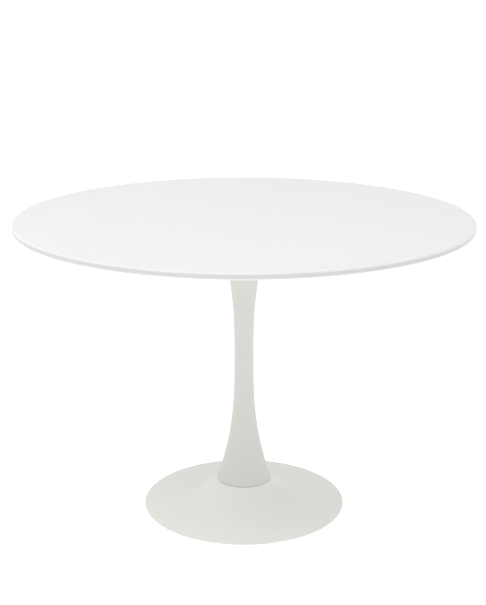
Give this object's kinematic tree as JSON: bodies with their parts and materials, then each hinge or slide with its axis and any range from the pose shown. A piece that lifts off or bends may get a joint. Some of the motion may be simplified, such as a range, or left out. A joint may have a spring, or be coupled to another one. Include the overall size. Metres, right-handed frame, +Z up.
{
  "type": "round pedestal table",
  "caption": "Round dining table: a thin lacquered top on a waisted trumpet column over a low domed disc base.",
  "frame": {"origin": "on the floor, at the middle of the round base and under the middle of the top", "axes": "+Z up along the column; the table is round about Z, and +X is half a step from the first screw under the top"},
  "size_m": [1.1, 1.1, 0.74],
  "materials": {
    "white_lacquer": "satin",
    "white_powder_coat": "satin",
    "white_coated_aluminium": "satin",
    "cast_iron": "matte",
    "zinc_plated_steel": "satin",
    "brass": "satin",
    "grey_rubber": "matte",
    "nylon": "matte"
  },
  "bodies": {
    "root": {"table_top": "white_lacquer", "insert_nut_1": "brass", "insert_nut_2": "brass", "insert_nut_3": "brass", "insert_nut_4": "brass", "insert_nut_5": "brass", "insert_nut_6": "brass", "insert_nut_7": "brass", "insert_nut_8": "brass", "mounting_plate": "white_powder_coat", "plate_screw_1": "zinc_plated_steel", "plate_screw_2": "zinc_plated_steel", "plate_screw_3": "zinc_plated_steel", "plate_screw_4": "zinc_plated_steel", "plate_screw_5": "zinc_plated_steel", "plate_screw_6": "zinc_plated_steel", "plate_screw_7": "zinc_plated_steel", "plate_screw_8": "zinc_plated_steel", "column_spigot": "zinc_plated_steel", "plate_nut": "zinc_plated_steel", "column": "white_coated_aluminium", "tie_rod": "zinc_plated_steel", "centring_disc": "nylon", "seam_ring": "grey_rubber", "base_cover": "white_powder_coat", "ballast": "cast_iron", "clamp_washer": "zinc_plated_steel", "lock_washer": "zinc_plated_steel", "base_nut": "zinc_plated_steel", "floor_ring": "grey_rubber"}
  },
  "joints": []
}
